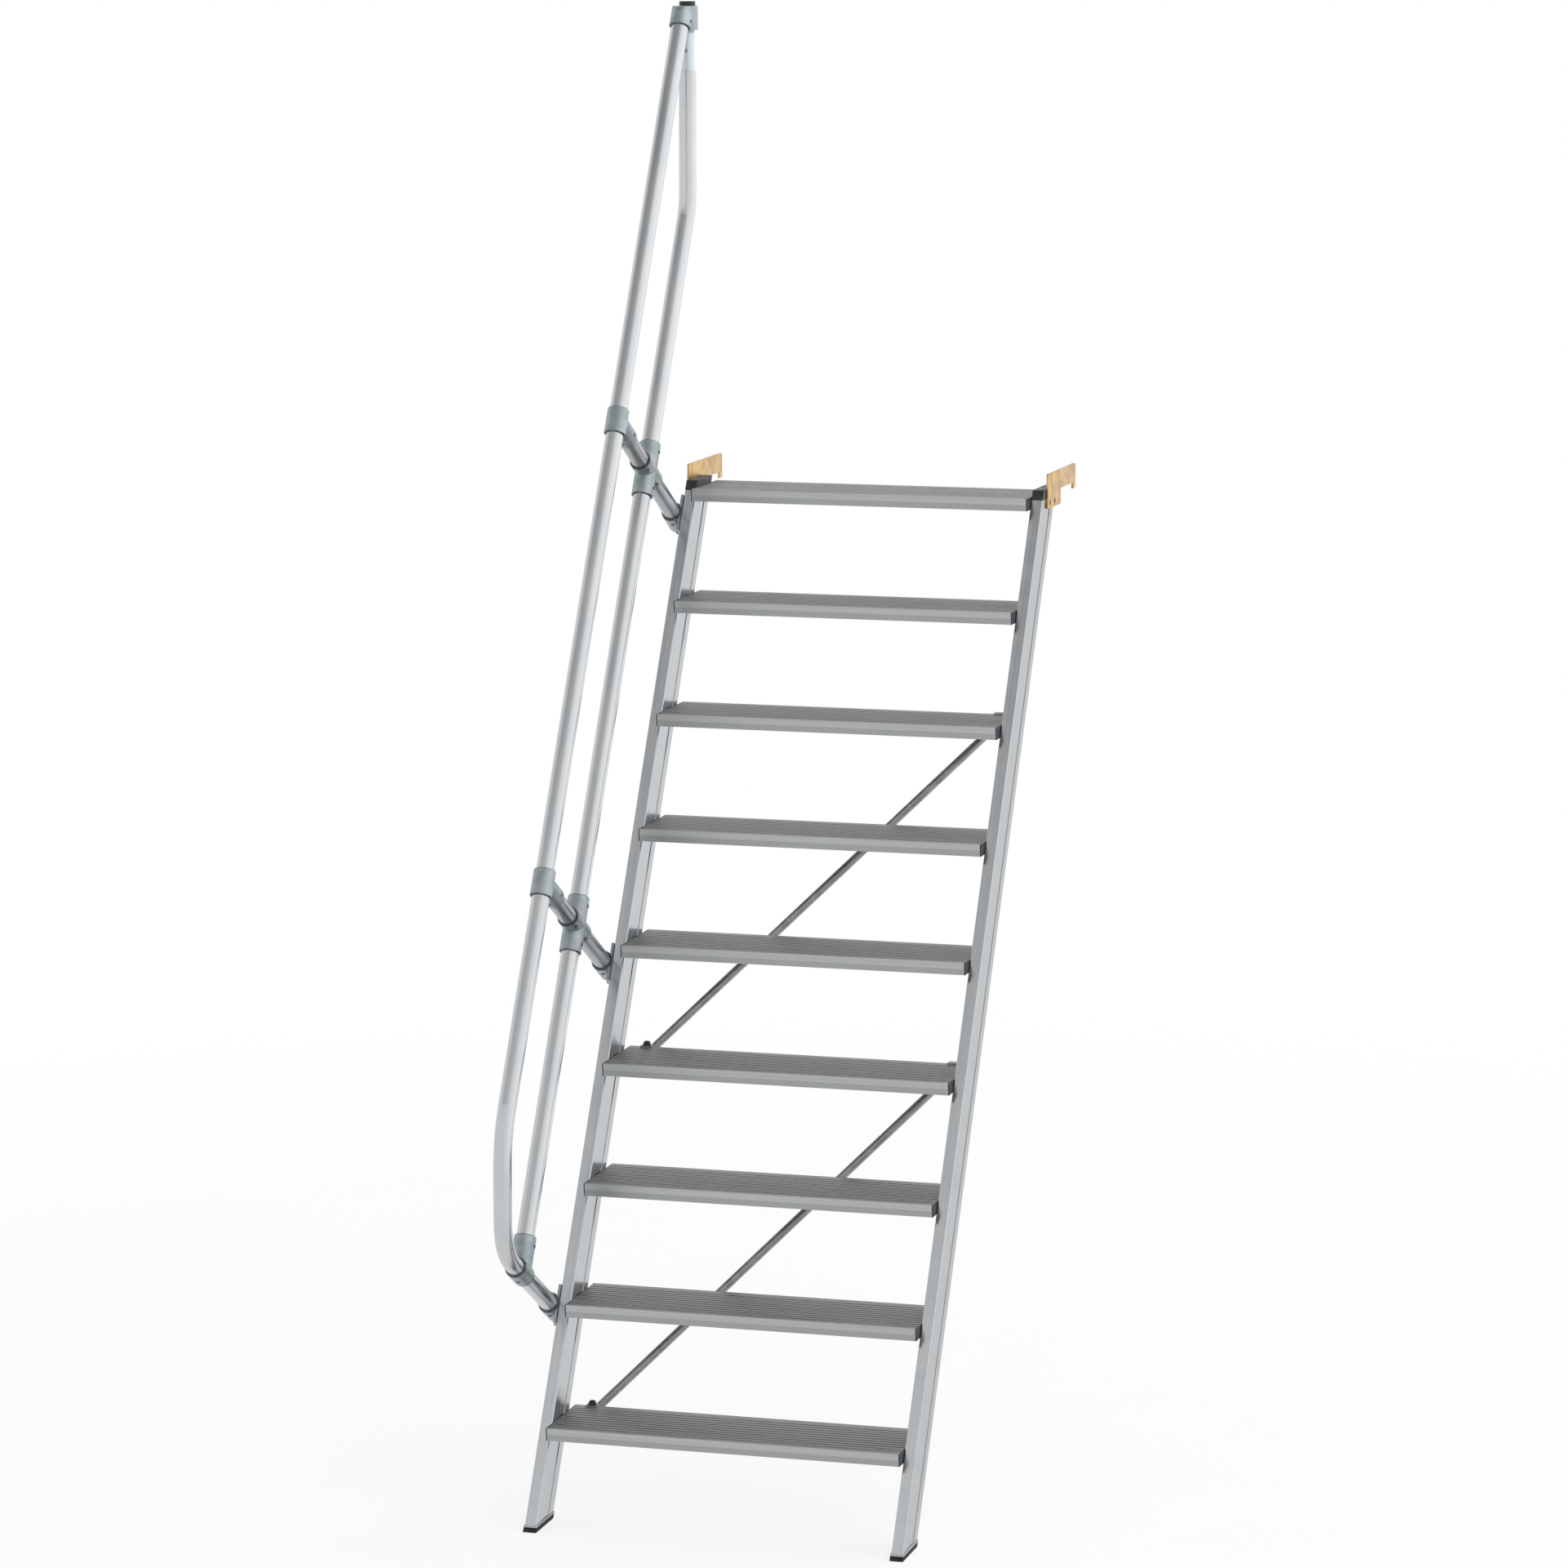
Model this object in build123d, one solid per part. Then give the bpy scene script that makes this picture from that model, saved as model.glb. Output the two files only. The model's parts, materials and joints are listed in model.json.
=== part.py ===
"""Ship ladder: a steep metal stair with nine open treads and a handrail on its left side.

Lengths are in millimetres. The model is drawn with the floor at z = 0, the stair's
middle plane at x = 0 and the nose of the lowest tread at y = 0; the stair climbs
towards +Y. Every piece is then moved so that the origin lies on the seat of the
left-hand top hook.

A place on the slope is given by three numbers: x across the stair, s up along the
stringers' front edge from the floor, and q square to it, positive towards the climber.
"""

import math
import os

from build123d import *

# Flight
SLOPE_DEG = 60.0
TREAD_COUNT = 9
TREAD_PITCH = 280.0
FIRST_TREAD_Z = 214.0
CLEAR_WIDTH = 796.0
NOSE_OVERHANG = 47.0

# Stringers
STRINGER_THICK = 27.0
STRINGER_DEPTH = 105.0
STRINGER_WALL = 2.5
STRINGER_CORNER = 2.5
MOULDED_CHAMFER = 1.0
RECESS_WIDTH = 44.0
RECESS_DEPTH = 1.2
STRINGER_TOP_Z = 2169.0
TOP_CAP_THICK = 22.0
FOOT_HEIGHT = 14.0
FOOT_MARGIN = 1.5
PLUG_LENGTH = 30.0
PLUG_GAP = 0.3

# Treads
TREAD_DEPTH = 213.0
TREAD_HEIGHT = 28.0
TREAD_PLATE = 4.0
TREAD_WALL = 2.5
GROOVE_PITCH = 18.0
GROOVE_WIDTH = 5.0
GROOVE_DEPTH = 1.5
NOSE_BOX = 30.0
NOSE_LIP_HEIGHT = 14.0
NOSE_LIP_DEPTH = 2.0
REAR_BOX = 24.0
TREAD_WEB_HEIGHT = 20.0
END_CAP_THICK = 2.5

# Braces behind the treads
BRACE_DIAMETER = 18.0
BRACE_END_X = 357.0
BRACE_SPANS = {"brace_lower": (1, 4), "brace_upper": (4, 7)}
BRACE_GAP = 0.5
BRACE_OVERRUN = 12.0
BRACKET_WIDTH = 26.0
BRACKET_THICK = 4.0
BRACKET_DROP = 27.0
BRACKET_TAB = 16.0
BRACKET_BOSS = 16.0

# Rails on the left side
TUBE_DIAMETER = 40.0
RAIL_CLEARANCE = 2.0
HANDRAIL_Q = 495.0
KNEE_RAIL_Q = 237.0
HANDRAIL_DROP_Y = -137.0
RAIL_POST_Y = 1265.0
POST_TOP_Z = 3107.0
LOW_BEND_RADIUS = 120.0
SLOPE_BEND_RADIUS = 260.0
POST_BEND_RADIUS = 120.0
STANCHION_S = {"lower": 517.0, "middle": 1318.0, "upper": 2422.0}
FULL_STANCHIONS = ("middle", "upper")

# Cast fittings
FITTING_WALL = 4.5
FIT_GAP = 0.1
STOP_GAP = 8.0
HEAD_WALL = 8.0
HANDRAIL_CLAMP_LENGTH = 58.0
HANDRAIL_SOCKET_REACH = 87.0
KNEE_CLAMP_LENGTH = 128.0
KNEE_SOCKET_REACH = 52.0
LOWER_TEE_LENGTH = 64.0
LOWER_TEE_REACH = 78.0
BASE_Q = (-62.0, 4.0)
BASE_FLANGE_THICK = 6.0
BASE_FLANGE_LENGTH = 88.0
TOP_FITTING_Z = (3200.0, 3256.0)
TOP_SOCKET_LENGTH = 30.0
ELBOW_RADIUS = 18.0
NECK_DIAMETER = 32.0
POST_CAP_DIAMETER = 37.0
POST_CAP_TOP_Z = 3266.0

# Top hooks
HOOK_THICK = 5.0
HOOK_FRONT_Y = 1197.5
HOOK_REAR_Y = 1470.0
HOOK_TOP_Z = 2204.0
HOOK_BAND = 44.0
HOOK_LUG_REAR_Y = 1322.0
HOOK_LUG_BOTTOM_Z = 2124.0
HOOK_TIP_WIDTH = 22.0
HOOK_TIP_DROP = 14.0
HOOK_CORNER = 6.0

# Allowances used only to build the shapes
BEYOND = 6000.0
BAR_SPARE = 250.0

# Worked out from the values above
SIN = math.sin(math.radians(SLOPE_DEG))
COS = math.cos(math.radians(SLOPE_DEG))
TAN = SIN / COS
GOING = TREAD_PITCH * COS
RISE = TREAD_PITCH * SIN
FRONT_AT_FLOOR = NOSE_OVERHANG - FIRST_TREAD_Z / TAN
INNER_X = CLEAR_WIDTH / 2
OUTER_X = INNER_X + STRINGER_THICK
STRINGER_X = INNER_X + STRINGER_THICK / 2
TUBE_RADIUS = TUBE_DIAMETER / 2
RAIL_X = -(OUTER_X + RAIL_CLEARANCE + TUBE_RADIUS)
FITTING_RADIUS = TUBE_RADIUS + FITTING_WALL
HOOK_SEAT_Z = HOOK_TOP_Z - HOOK_BAND
HOOK_GAP_MID_Y = (HOOK_LUG_REAR_Y + HOOK_REAR_Y - HOOK_TIP_WIDTH) / 2
ORIGIN = Vector(-OUTER_X - HOOK_THICK / 2, HOOK_GAP_MID_Y, HOOK_SEAT_Z)
HEAD_SETBACK = TUBE_RADIUS * (1 + SIN) + HEAD_WALL
UP_SLOPE = Vector(0, COS, SIN)
OFF_SLOPE = Vector(0, -SIN, COS)


def slope_point(x, s, q):
    """The point at x across, s up the slope and q square to it."""
    return Vector(x, FRONT_AT_FLOOR, 0) + UP_SLOPE * s + OFF_SLOPE * q


def rod(start, end, radius):
    """A round bar between two points."""
    along = end - start
    return extrude(Plane(origin=start, z_dir=along) * Circle(radius), along.length)


def block(x_range, y_range, z_range):
    """A box between stated limits."""
    size = [high - low for low, high in (x_range, y_range, z_range)]
    middle = [(high + low) / 2 for low, high in (x_range, y_range, z_range)]
    return Pos(*middle) * Box(*size)


def level_slice(shape, z_low, z_high):
    """What lies between two levels."""
    return shape & block((-BEYOND, BEYOND), (-BEYOND, BEYOND), (z_low, z_high))


def sloped_bar(section, x_middle, z_low, z_high):
    """A section drawn square to the slope, run up it and cut level at both ends."""
    start = slope_point(x_middle, z_low / SIN - BAR_SPARE, -STRINGER_DEPTH / 2)
    length = (z_high - z_low) / SIN + 2 * BAR_SPARE
    bar = extrude(Plane(origin=start, x_dir=(1, 0, 0), z_dir=UP_SLOPE) * section, length)
    return level_slice(bar, z_low, z_high)


def stringer_outline():
    """The outside of a stringer, with a shallow recess down each side face."""
    outline = RectangleRounded(STRINGER_THICK, STRINGER_DEPTH, STRINGER_CORNER)
    for side in (-1, 1):
        groove = Rectangle(2 * RECESS_DEPTH, RECESS_WIDTH)
        outline -= Pos(side * STRINGER_THICK / 2, 0) * groove
    return outline


def stringer_hollow(shrink=0.0):
    """The space inside a stringer, less an allowance all round."""
    wall = STRINGER_WALL + RECESS_DEPTH + shrink
    return Rectangle(STRINGER_THICK - 2 * wall, STRINGER_DEPTH - 2 * wall)


def stringer(side):
    """One hollow side member, cut level at the foot and at the top."""
    section = stringer_outline() - stringer_hollow()
    top = STRINGER_TOP_Z - TOP_CAP_THICK
    return sloped_bar(section, side * STRINGER_X, FOOT_HEIGHT, top)


def moulded_outline(margin):
    """The outside of a moulded end piece, larger than a stringer by a margin all round."""
    outline = Rectangle(STRINGER_THICK + 2 * margin, STRINGER_DEPTH + 2 * margin)
    return chamfer(outline.vertices(), MOULDED_CHAMFER)


def foot(side):
    """A moulded foot: a sole a little larger than the stringer and a plug inside it."""
    body = sloped_bar(moulded_outline(FOOT_MARGIN), side * STRINGER_X, 0, FOOT_HEIGHT)
    plug = sloped_bar(
        stringer_hollow(PLUG_GAP), side * STRINGER_X, FOOT_HEIGHT, FOOT_HEIGHT + PLUG_LENGTH
    )
    return body + plug


def top_cap(side):
    """The deep moulded cap that closes a stringer's upper end, with a plug inside it."""
    seat = STRINGER_TOP_Z - TOP_CAP_THICK
    lid = sloped_bar(moulded_outline(0), side * STRINGER_X, seat, STRINGER_TOP_Z)
    plug = sloped_bar(stringer_hollow(PLUG_GAP), side * STRINGER_X, seat - PLUG_LENGTH, seat)
    return lid + plug


def side_rect(y_low, y_high, z_low, z_high):
    """A rectangle of a tread's section, measured from the top of its nose."""
    middle = Pos((y_low + y_high) / 2, (z_low + z_high) / 2)
    return middle * Rectangle(y_high - y_low, z_high - z_low)


def tread_section():
    """A ribbed plate on a hollow nose, a hollow rear rail and two webs."""
    section = side_rect(NOSE_LIP_DEPTH, TREAD_DEPTH, -TREAD_PLATE, 0)
    section += side_rect(0, NOSE_BOX, -NOSE_LIP_HEIGHT, 0)
    section += side_rect(NOSE_LIP_DEPTH, NOSE_BOX, -TREAD_HEIGHT, 0)
    section += side_rect(TREAD_DEPTH - REAR_BOX, TREAD_DEPTH, -TREAD_HEIGHT, 0)
    for part in (1, 2):
        web_y = NOSE_BOX + part * (TREAD_DEPTH - REAR_BOX - NOSE_BOX) / 3
        section += side_rect(web_y - TREAD_WALL / 2, web_y + TREAD_WALL / 2, -TREAD_WEB_HEIGHT, 0)
    ceiling = -TREAD_PLATE
    section -= side_rect(
        NOSE_LIP_DEPTH + TREAD_WALL, NOSE_BOX - TREAD_WALL, -TREAD_HEIGHT + TREAD_WALL, ceiling
    )
    section -= side_rect(
        TREAD_DEPTH - REAR_BOX + TREAD_WALL,
        TREAD_DEPTH - TREAD_WALL,
        -TREAD_HEIGHT + TREAD_WALL,
        ceiling,
    )
    groove_count = int((TREAD_DEPTH - GROOVE_PITCH) / GROOVE_PITCH)
    for groove in range(groove_count):
        start = GROOVE_PITCH * (groove + 1)
        section -= side_rect(start, start + GROOVE_WIDTH, -GROOVE_DEPTH, 1)
    return section


def tread_shift(number):
    """How far a tread's nose is from the lowest one's, at the tread's own height."""
    step = number - 1
    return Vector(0, step * GOING, FIRST_TREAD_Z + step * RISE)


def across(section, x_low, x_high, number):
    """A tread section run across the stair between two x places."""
    start = tread_shift(number) + Vector(x_low, 0, 0)
    plane = Plane(origin=start, x_dir=(0, 1, 0), z_dir=(1, 0, 0))
    return extrude(plane * section, x_high - x_low)


def tread(number):
    """One extruded tread between its two end caps."""
    reach = INNER_X - END_CAP_THICK
    return across(tread_section(), -reach, reach, number)


def tread_end_caps(side):
    """The dark plates that close one end of every tread."""
    outline = side_rect(0, TREAD_DEPTH, -NOSE_LIP_HEIGHT, 0)
    outline += side_rect(NOSE_LIP_DEPTH, TREAD_DEPTH, -TREAD_HEIGHT, 0)
    inner = INNER_X - END_CAP_THICK
    x_low, x_high = (inner, INNER_X) if side > 0 else (-INNER_X, -inner)
    return Compound(
        [across(outline, x_low, x_high, number).solid() for number in range(1, TREAD_COUNT + 1)]
    )


def brace_bracket(x, number, axis_y):
    """The angle over a tread's rear edge that holds one end of a brace, with its boss."""
    shift = tread_shift(number)
    rear_y = shift.Y + TREAD_DEPTH
    middle_z = shift.Z - TREAD_HEIGHT / 2
    x_range = (x - BRACKET_WIDTH / 2, x + BRACKET_WIDTH / 2)
    plate = block(
        x_range, (rear_y, rear_y + BRACKET_THICK), (shift.Z - BRACKET_DROP, shift.Z + BRACKET_THICK)
    )
    tab = block(
        x_range, (rear_y - BRACKET_TAB, rear_y + BRACKET_THICK), (shift.Z, shift.Z + BRACKET_THICK)
    )
    half = BRACKET_BOSS / 2
    boss = block((x - half, x + half), (rear_y, axis_y), (middle_z - half, middle_z + half))
    return plate + tab + boss


def brace(first, last):
    """A round bar behind the treads, held at the rear rails of two of them."""
    radius = BRACE_DIAMETER / 2
    corner_q = (FIRST_TREAD_Z - TREAD_HEIGHT) * COS - (TREAD_DEPTH - FRONT_AT_FLOOR) * SIN
    axis_q = corner_q - radius - BRACE_GAP
    ends = []
    brackets = []
    for number, x in ((first, -BRACE_END_X), (last, BRACE_END_X)):
        middle_z = tread_shift(number).Z - TREAD_HEIGHT / 2
        axis_y = FRONT_AT_FLOOR + (middle_z * COS - axis_q) / SIN
        ends.append(Vector(x, axis_y, middle_z))
        brackets.append(brace_bracket(x, number, axis_y))
    overrun = (ends[1] - ends[0]).normalized() * BRACE_OVERRUN
    bar = rod(ends[0] - overrun, ends[1] + overrun, radius)
    return bar + brackets[0] + brackets[1]


def bent_tube(points, radii):
    """A round tube along straight runs joined by bends."""
    path = FilletPolyline(*points, radius=radii)
    start = Plane(origin=points[0], z_dir=points[1] - points[0])
    return sweep(start * Circle(TUBE_RADIUS), path=path)


def slope_at_y(q, y):
    """The place up the slope where a line at q reaches a given y."""
    return (y - FRONT_AT_FLOOR + q * SIN) / COS


def handrail():
    """The top rail, which drops at its lower end and turns back as the lowest stanchion."""
    top_s = slope_at_y(HANDRAIL_Q, RAIL_POST_Y - HEAD_SETBACK)
    knuckle = slope_point(RAIL_X, slope_at_y(HANDRAIL_Q, HANDRAIL_DROP_Y), HANDRAIL_Q)
    low_s = STANCHION_S["lower"]
    heel_q = (FRONT_AT_FLOOR + low_s * COS - HANDRAIL_DROP_Y) / SIN
    points = [
        slope_point(RAIL_X, top_s, HANDRAIL_Q),
        knuckle,
        slope_point(RAIL_X, low_s, heel_q),
        slope_point(RAIL_X, low_s, BASE_Q[0] + STOP_GAP),
    ]
    return bent_tube(points, [SLOPE_BEND_RADIUS, LOW_BEND_RADIUS])


def knee_rail():
    """The middle rail, which bends upright at its upper end and carries the handrail there."""
    low_s = STANCHION_S["lower"] + TUBE_RADIUS + STOP_GAP
    bend = slope_point(RAIL_X, slope_at_y(KNEE_RAIL_Q, RAIL_POST_Y), KNEE_RAIL_Q)
    points = [
        slope_point(RAIL_X, low_s, KNEE_RAIL_Q),
        bend,
        Vector(RAIL_X, RAIL_POST_Y, POST_TOP_Z),
    ]
    return bent_tube(points, [POST_BEND_RADIUS])


def on_each(names, make):
    """Like pieces, one on each named stanchion, that share a node."""
    return Compound([make(STANCHION_S[name]).solid() for name in names])


def stanchion_length(s, q_low, q_high):
    """One straight length of an upright, square to the slope."""
    return rod(slope_point(RAIL_X, s, q_low), slope_point(RAIL_X, s, q_high), TUBE_RADIUS)


def stanchion(s):
    """The length of an upright between its base and the knee rail."""
    return stanchion_length(s, BASE_Q[0] + STOP_GAP, KNEE_RAIL_Q - TUBE_RADIUS - STOP_GAP)


def stanchion_head(s):
    """The length of an upright between the knee rail and the handrail."""
    stop = TUBE_RADIUS + STOP_GAP
    return stanchion_length(s, KNEE_RAIL_Q + stop, HANDRAIL_Q - stop)


def handrail_clamp(s):
    """A tee that grips the handrail and takes the head of a stanchion."""
    half = HANDRAIL_CLAMP_LENGTH / 2
    low = slope_point(RAIL_X, s - half, HANDRAIL_Q)
    high = slope_point(RAIL_X, s + half, HANDRAIL_Q)
    mouth = slope_point(RAIL_X, s, HANDRAIL_Q - HANDRAIL_SOCKET_REACH)
    stop = slope_point(RAIL_X, s, HANDRAIL_Q - TUBE_RADIUS - STOP_GAP)
    body = rod(low, high, FITTING_RADIUS)
    body += rod(slope_point(RAIL_X, s, HANDRAIL_Q), mouth, FITTING_RADIUS)
    body -= rod(low, high, TUBE_RADIUS + FIT_GAP)
    return body - rod(stop, mouth, TUBE_RADIUS + FIT_GAP)


def knee_clamp(s):
    """A cross that grips the knee rail and takes a stanchion from both sides."""
    half = KNEE_CLAMP_LENGTH / 2
    low = slope_point(RAIL_X, s - half, KNEE_RAIL_Q)
    high = slope_point(RAIL_X, s + half, KNEE_RAIL_Q)
    body = rod(low, high, FITTING_RADIUS)
    bores = rod(low, high, TUBE_RADIUS + FIT_GAP)
    near = slope_point(RAIL_X, s, KNEE_RAIL_Q - KNEE_SOCKET_REACH)
    far = slope_point(RAIL_X, s, KNEE_RAIL_Q + KNEE_SOCKET_REACH)
    body += rod(near, far, FITTING_RADIUS)
    for way, mouth in ((-1, near), (1, far)):
        stop = slope_point(RAIL_X, s, KNEE_RAIL_Q + way * (TUBE_RADIUS + STOP_GAP))
        bores += rod(stop, mouth, TUBE_RADIUS + FIT_GAP)
    return body - bores


def knee_tee():
    """The tee on the lowest stanchion that takes the foot of the knee rail."""
    s = STANCHION_S["lower"]
    half = LOWER_TEE_LENGTH / 2
    low = slope_point(RAIL_X, s, KNEE_RAIL_Q - half)
    high = slope_point(RAIL_X, s, KNEE_RAIL_Q + half)
    mouth = slope_point(RAIL_X, s + LOWER_TEE_REACH, KNEE_RAIL_Q)
    stop = slope_point(RAIL_X, s + TUBE_RADIUS + STOP_GAP, KNEE_RAIL_Q)
    body = rod(low, high, FITTING_RADIUS)
    body += rod(slope_point(RAIL_X, s, KNEE_RAIL_Q), mouth, FITTING_RADIUS)
    body -= rod(low, high, TUBE_RADIUS + FIT_GAP)
    return body - rod(stop, mouth, TUBE_RADIUS + FIT_GAP)


def stanchion_base(s):
    """A socket with a flange, flat against the left stringer's outer face."""
    low_q, high_q = BASE_Q
    low = slope_point(RAIL_X, s, low_q)
    high = slope_point(RAIL_X, s, high_q)
    middle = slope_point(-OUTER_X - BASE_FLANGE_THICK / 2, s, (low_q + high_q) / 2)
    flange = Plane(origin=middle, x_dir=(1, 0, 0), z_dir=OFF_SLOPE) * Box(
        BASE_FLANGE_THICK, BASE_FLANGE_LENGTH, high_q - low_q
    )
    body = rod(low, high, FITTING_RADIUS) + flange
    body &= block((-BEYOND, -OUTER_X), (-BEYOND, BEYOND), (-BEYOND, BEYOND))
    bore = rod(slope_point(RAIL_X, s, low_q + STOP_GAP), high, TUBE_RADIUS + FIT_GAP)
    return body - bore


def elbow_corner():
    """What the round corner leaves off the sloped half of the top fitting."""
    centre_q = HANDRAIL_Q + FITTING_RADIUS - ELBOW_RADIUS
    centre_s = (TOP_FITTING_Z[1] - ELBOW_RADIUS - centre_q * COS) / SIN
    start = slope_point(RAIL_X - FITTING_RADIUS, centre_s, centre_q)
    reach = 2 * ELBOW_RADIUS
    wedge = make_face(Polyline((0, 0), (0, reach), (-SIN * reach, COS * reach), close=True))
    plane = Plane(origin=start, x_dir=(0, 1, 0), z_dir=(1, 0, 0))
    return extrude(plane * (wedge - Circle(ELBOW_RADIUS)), 2 * FITTING_RADIUS)


def top_fitting():
    """The casting on the upright end of the knee rail that takes the handrail's head."""
    z_low, z_high = TOP_FITTING_Z
    neck_foot = Vector(RAIL_X, RAIL_POST_Y, POST_TOP_Z)
    low = Vector(RAIL_X, RAIL_POST_Y, z_low)
    high = Vector(RAIL_X, RAIL_POST_Y, z_high)
    stop_s = slope_at_y(HANDRAIL_Q, RAIL_POST_Y - HEAD_SETBACK)
    mouth = slope_point(RAIL_X, stop_s - TOP_SOCKET_LENGTH, HANDRAIL_Q)
    head = slope_point(RAIL_X, stop_s + 2 * TOP_SOCKET_LENGTH, HANDRAIL_Q)
    stop = slope_point(RAIL_X, stop_s, HANDRAIL_Q)
    elbow = level_slice(rod(mouth, head, FITTING_RADIUS), 0, z_high) - elbow_corner()
    body = rod(neck_foot, high, NECK_DIAMETER / 2) + rod(low, high, FITTING_RADIUS) + elbow
    return body - rod(stop, mouth, TUBE_RADIUS + FIT_GAP)


def post_cap():
    """The plug on top of the upright's casting."""
    base = Vector(RAIL_X, RAIL_POST_Y, TOP_FITTING_Z[1])
    top = Vector(RAIL_X, RAIL_POST_Y, POST_CAP_TOP_Z)
    return rod(base, top, POST_CAP_DIAMETER / 2)


def top_hook(side):
    """A flat plate on a stringer's outer face, with a hook that drops over the landing's edge."""
    tip_front = HOOK_REAR_Y - HOOK_TIP_WIDTH
    tip_bottom = HOOK_SEAT_Z - HOOK_TIP_DROP
    outline = [
        (HOOK_FRONT_Y, HOOK_TOP_Z),
        (HOOK_REAR_Y, HOOK_TOP_Z),
        (HOOK_REAR_Y, tip_bottom),
        (tip_front, tip_bottom),
        (tip_front, HOOK_SEAT_Z),
        (HOOK_LUG_REAR_Y, HOOK_SEAT_Z),
        (HOOK_LUG_REAR_Y, HOOK_LUG_BOTTOM_Z),
        (HOOK_FRONT_Y, HOOK_LUG_BOTTOM_Z),
    ]
    plate = make_face(Polyline(*outline, close=True))
    levels = plate.vertices().group_by(Axis.Y)
    plate = fillet(levels[0] + levels[-1], HOOK_CORNER)
    x_low = OUTER_X if side > 0 else -OUTER_X - HOOK_THICK
    return extrude(Plane(origin=(x_low, 0, 0), x_dir=(0, 1, 0), z_dir=(1, 0, 0)) * plate, HOOK_THICK)


def all_pieces():
    """Every named piece of the ladder."""
    pieces = {}
    for word, side in (("left", -1), ("right", 1)):
        pieces[f"stringer_{word}"] = stringer(side)
        pieces[f"foot_{word}"] = foot(side)
        pieces[f"top_cap_{word}"] = top_cap(side)
        pieces[f"tread_end_caps_{word}"] = tread_end_caps(side)
        pieces[f"top_hook_{word}"] = top_hook(side)
    for number in range(1, TREAD_COUNT + 1):
        pieces[f"tread_{number}"] = tread(number)
    for name, (first, last) in BRACE_SPANS.items():
        pieces[name] = brace(first, last)
    pieces["handrail"] = handrail()
    pieces["knee_rail"] = knee_rail()
    pieces["stanchions"] = on_each(FULL_STANCHIONS, stanchion)
    pieces["stanchion_heads"] = on_each(FULL_STANCHIONS, stanchion_head)
    pieces["handrail_clamps"] = on_each(FULL_STANCHIONS, handrail_clamp)
    pieces["knee_clamps"] = on_each(FULL_STANCHIONS, knee_clamp)
    pieces["stanchion_bases"] = on_each(STANCHION_S, stanchion_base)
    pieces["knee_tee_lower"] = knee_tee()
    pieces["top_fitting"] = top_fitting()
    pieces["post_cap"] = post_cap()
    return pieces


os.makedirs("parts", exist_ok=True)
for node, shape in all_pieces().items():
    export_step(shape.moved(Location(-ORIGIN)), f"parts/{node}.step")
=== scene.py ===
"""Looks of the ship ladder: metal finishes, screws, collars, floor, light and camera."""

import json
import math

import bmesh
import bpy
from mathutils import Matrix, Vector


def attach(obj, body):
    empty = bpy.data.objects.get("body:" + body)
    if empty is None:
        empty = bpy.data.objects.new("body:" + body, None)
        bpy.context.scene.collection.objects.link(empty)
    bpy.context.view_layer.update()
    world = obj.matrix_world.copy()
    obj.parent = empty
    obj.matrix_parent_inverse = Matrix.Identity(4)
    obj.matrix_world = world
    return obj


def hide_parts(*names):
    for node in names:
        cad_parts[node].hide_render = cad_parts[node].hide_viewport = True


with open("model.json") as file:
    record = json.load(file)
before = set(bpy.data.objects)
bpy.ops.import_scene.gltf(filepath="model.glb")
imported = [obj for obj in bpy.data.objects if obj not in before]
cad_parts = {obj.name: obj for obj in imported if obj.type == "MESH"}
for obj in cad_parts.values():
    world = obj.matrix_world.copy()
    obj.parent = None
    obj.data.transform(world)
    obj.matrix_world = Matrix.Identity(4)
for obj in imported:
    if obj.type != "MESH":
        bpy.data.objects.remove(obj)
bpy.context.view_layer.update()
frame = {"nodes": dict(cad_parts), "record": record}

# Camera, solved from the photo's tread and stringer edges
CAMERA_PLACE = Vector((3.9782, -13.4744, 1.4526))
CAMERA_YAW_DEG = 15.75
CAMERA_DIP_DEG = 8.85
FOCAL_PIXELS = 7355.0
IMAGE_PIXELS = 1920.0
SENSOR_MM = 36.0

# The CAD drawing's own values, in millimetres, for placing the small parts
MM = 0.001
ORIGIN = Vector((-427.5, 1385.0, 2160.0))
SLOPE = math.radians(60.0)
FRONT_AT_FLOOR = 47.0 - 214.0 / math.tan(SLOPE)
TREAD_PITCH = 280.0
FIRST_TREAD_Z = 214.0
TREAD_DEPTH = 213.0
OUTER_X = 425.0
RAIL_X = -447.0
TUBE_RADIUS = 20.0
FITTING_RADIUS = 24.5
HANDRAIL_Q = 495.0
KNEE_RAIL_Q = 237.0
LOWER_S = 517.0
MIDDLE_S = 1318.0
UPPER_S = 2422.0
HANDRAIL_CLAMP_HALF = 29.0
HANDRAIL_SOCKET_REACH = 87.0
KNEE_CLAMP_HALF = 64.0
KNEE_SOCKET_REACH = 52.0
TEE_HALF = 32.0
TEE_REACH = 78.0
BASE_TOP_Q = 4.0
BASE_MIDDLE_Q = -29.0
BASE_FLANGE_THICK = 6.0
BASE_BOLT_REACH = 35.0
POST_Y = 1265.0
NECK_FOOT_Z = 3107.0
HEAD_LOW_Z = 3200.0
TOP_MOUTH_S = 3419.9
BRACE_END_X = 357.0
BRACE_STEPS = (0, 3)
BRACE_COVER_INSET = 5.5
BRACKET_THICK = 4.0

# The grub screws, from the middle of their casting or mouth
CLAMP_SCREW_DROP = 66.0
KNEE_SCREW_OFF = 40.0
KNEE_SCREW_ALONG = 45.0
TEE_SCREW_ALONG = 58.0
TOP_SCREW_ALONG = 14.0
BASE_SCREW_OFF = 12.0
NECK_RADIUS = 16.0

# The collars
COLLAR_SIDES = 56
COLLAR_OFF_STRINGER = 0.2

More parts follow.
